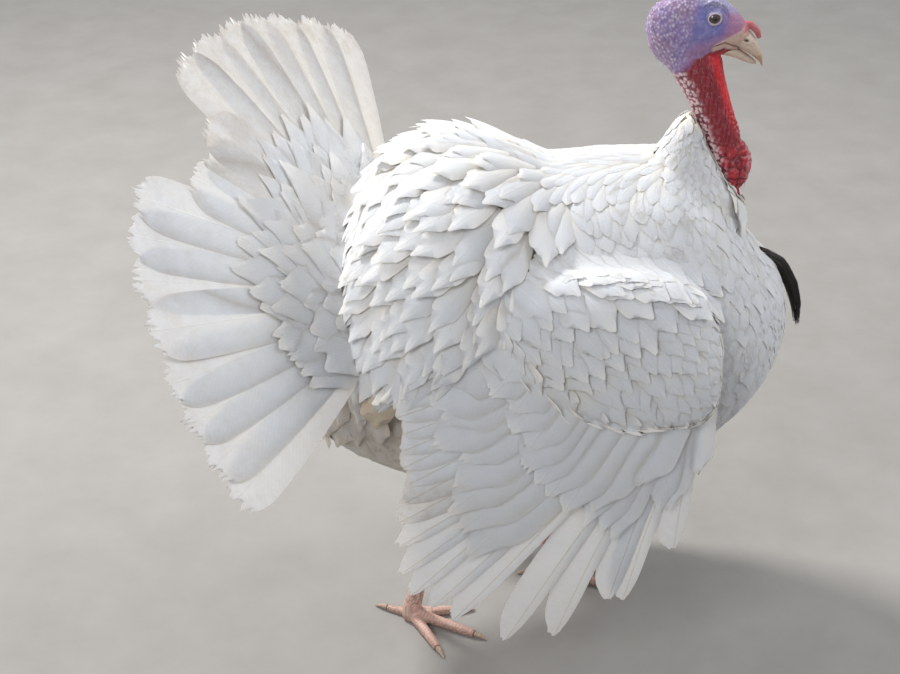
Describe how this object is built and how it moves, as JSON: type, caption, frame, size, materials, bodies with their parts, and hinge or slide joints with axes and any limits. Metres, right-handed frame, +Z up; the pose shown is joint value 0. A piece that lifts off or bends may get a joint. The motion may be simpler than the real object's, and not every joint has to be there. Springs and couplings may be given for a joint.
{
  "type": "white domestic turkey",
  "caption": "Life-size standing male white turkey in display: fanned tail, drooped wings, naked blue and red head and neck.",
  "frame": {"origin": "on the ground, under the middle of the bird's box", "axes": "+X the way the bird faces, +Y its left side, +Z up"},
  "size_m": [0.7598, 0.6524, 0.8325],
  "materials": {
    "body_feathers": "soft white contour feathers, cream in the folds and soiled at the vent",
    "flight_feathers": "smooth white vanes with pale shafts and stained tips",
    "head_skin": "naked blue-violet skin, whitish on the nape",
    "red_skin": "naked red skin with warty caruncles",
    "bill_horn": "pale horn",
    "claw_horn": "pale horn",
    "eye": "dark brown, wet",
    "beard": "coarse black bristles",
    "leg_scales": "pinkish horny scales"
  },
  "bodies": {
    "root": {"beard": "beard", "bill_lower": "bill_horn", "bill_upper": "bill_horn", "claw_hind_left": "claw_horn", "claw_hind_right": "claw_horn", "claw_inner_left": "claw_horn", "claw_inner_right": "claw_horn", "claw_middle_left": "claw_horn", "claw_middle_right": "claw_horn", "claw_outer_left": "claw_horn", "claw_outer_right": "claw_horn", "eye_left": "eye", "eye_right": "eye", "feathered_neck": "body_feathers", "foot_left": "leg_scales", "foot_right": "leg_scales", "head": "head_skin", "naked_neck": "red_skin", "rump": "body_feathers", "shank_left": "leg_scales", "shank_right": "leg_scales", "snood": "red_skin", "tail_coverts": "body_feathers", "tail_fan": "flight_feathers", "thigh_left": "body_feathers", "thigh_right": "body_feathers", "trunk": "body_feathers", "undertail_coverts": "body_feathers", "wattle": "red_skin", "wing_arm_left": "body_feathers", "wing_arm_right": "body_feathers", "wing_primaries_left": "flight_feathers", "wing_primaries_right": "flight_feathers", "wing_secondaries_left": "flight_feathers", "wing_secondaries_right": "flight_feathers"}
  },
  "joints": []
}
